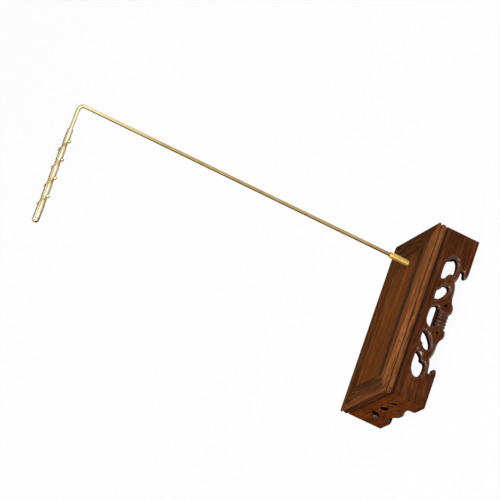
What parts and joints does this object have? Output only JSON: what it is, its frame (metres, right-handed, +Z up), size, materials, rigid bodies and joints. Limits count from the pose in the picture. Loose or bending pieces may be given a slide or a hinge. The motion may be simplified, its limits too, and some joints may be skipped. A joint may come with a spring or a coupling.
{
  "type": "brush rack",
  "caption": "Low pierced hardwood stand with a bent brass mast that swivels and lifts out; brushes hang by their loops from the ball-ended cross pins of its bar.",
  "frame": {"origin": "on the table, under the middle of the stand's footprint", "axes": "+X along the stand towards the mast, -Y the pictured front, +Z up the mast"},
  "size_m": [0.15, 0.086, 0.3369],
  "materials": {
    "frame_wood": "waxed, straight dark grain",
    "panel_wood": "waxed, straight dark grain",
    "carved_wood": "waxed, darker in the carving",
    "inner_wood": "bare",
    "brass": "polished"
  },
  "bodies": {
    "stand": {"top_panel": "panel_wood", "front_rail": "frame_wood", "back_rail": "frame_wood", "left_rail": "frame_wood", "right_rail": "frame_wood", "mitre_splines": "inner_wood", "front_apron": "carved_wood", "back_apron": "carved_wood", "left_apron": "carved_wood", "right_apron": "carved_wood", "mast_batten": "inner_wood", "cross_batten": "inner_wood", "corner_block_1": "inner_wood", "corner_block_2": "inner_wood", "corner_block_3": "inner_wood", "corner_block_4": "inner_wood"},
    "socket": {"ferrule": "brass", "ferrule_washer": "brass", "ferrule_nut": "brass"},
    "mast": {"mast_rod": "brass", "hanging_bar": "brass", "bar_cap": "brass", "hang_pin_1": "brass", "hang_pin_2": "brass", "hang_pin_3": "brass", "hang_pin_4": "brass", "pin_bead_1": "brass", "pin_bead_2": "brass", "pin_bead_3": "brass", "pin_bead_4": "brass"}
  },
  "joints": [
    {"name": "mast_swivel", "type": "hinge", "parent": "stand", "child": "socket", "pos_m": [0.0485, 0, 0.037], "axis": [0, 0, 1], "continuous": true},
    {"name": "mast_lift", "type": "slide", "parent": "socket", "child": "mast", "axis": [0, 0, 1], "range_m": [0, 0.034]}
  ]
}
